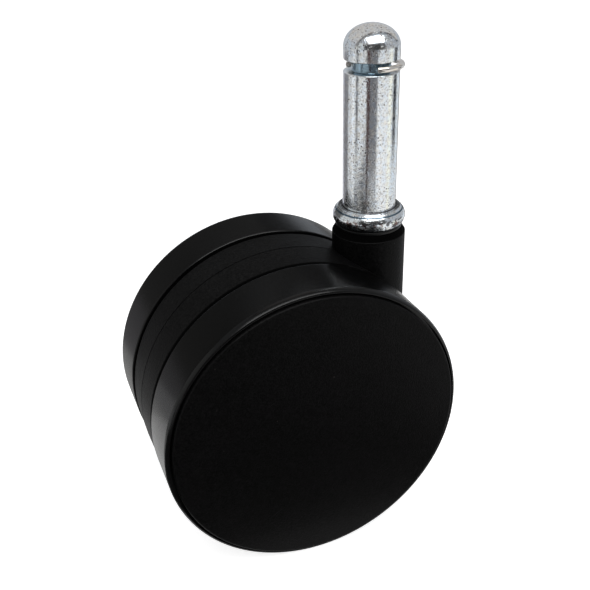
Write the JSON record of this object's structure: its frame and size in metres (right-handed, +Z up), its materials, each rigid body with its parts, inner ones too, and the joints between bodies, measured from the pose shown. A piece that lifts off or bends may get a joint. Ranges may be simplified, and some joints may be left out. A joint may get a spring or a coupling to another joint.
{
  "type": "chair caster",
  "caption": "Office chair caster: smooth black wheels on both sides of a hooded housing that swivels on a bright steel grip-ring stem.",
  "frame": {"origin": "on the stem axis, at the top face of the collar where the chair base's socket sits", "axes": "+Z up along the stem, +Y along the axle, -X the way the wheels trail"},
  "size_m": [0.0634, 0.0434, 0.1068],
  "materials": {
    "zinc_plate": "bright zinc plate, fine pits and faint turning lines",
    "spring_steel": "drawn round wire and stamped strip, nickel toned",
    "axle_steel": "ground plain steel",
    "housing_plastic": "black nylon, fine spark-eroded grain",
    "wheel_plastic": "black nylon, smooth satin tread",
    "cap_plastic": "black nylon, very fine grain",
    "washer_plastic": "black acetal, smooth",
    "bush_plastic": "natural acetal, smooth"
  },
  "bodies": {
    "stem": {"stem": "zinc_plate", "stem_retaining_clip": "spring_steel"},
    "grip_ring": {"grip_ring": "spring_steel"},
    "housing": {"housing": "housing_plastic", "neck_washer": "washer_plastic", "upper_swivel_bush": "bush_plastic", "lower_swivel_bush": "bush_plastic", "thrust_disc": "axle_steel", "axle": "axle_steel", "axle_washer_left": "axle_steel", "axle_washer_right": "axle_steel", "axle_clip_left": "spring_steel", "axle_clip_right": "spring_steel"},
    "wheel_left": {"wheel_left": "wheel_plastic", "wheel_bush_left": "bush_plastic", "wheel_cap_left": "cap_plastic"},
    "wheel_right": {"wheel_right": "wheel_plastic", "wheel_bush_right": "bush_plastic", "wheel_cap_right": "cap_plastic"}
  },
  "joints": [
    {"name": "swivel", "type": "hinge", "parent": "stem", "child": "housing", "pos_m": [0, 0, -0.015], "axis": [0, 0, 1], "continuous": true},
    {"name": "ring_squeeze", "type": "slide", "parent": "stem", "child": "grip_ring", "axis": [-0.8988, 0.4384, 0], "range_m": [0, 0.0007], "stiffness_N_per_m": 1500},
    {"name": "wheel_left_spin", "type": "hinge", "parent": "housing", "child": "wheel_left", "pos_m": [-0.0206, 0.015, -0.03825], "axis": [0, 1, 0], "continuous": true},
    {"name": "wheel_right_spin", "type": "hinge", "parent": "housing", "child": "wheel_right", "pos_m": [-0.0206, -0.015, -0.03825], "axis": [0, 1, 0], "continuous": true}
  ]
}
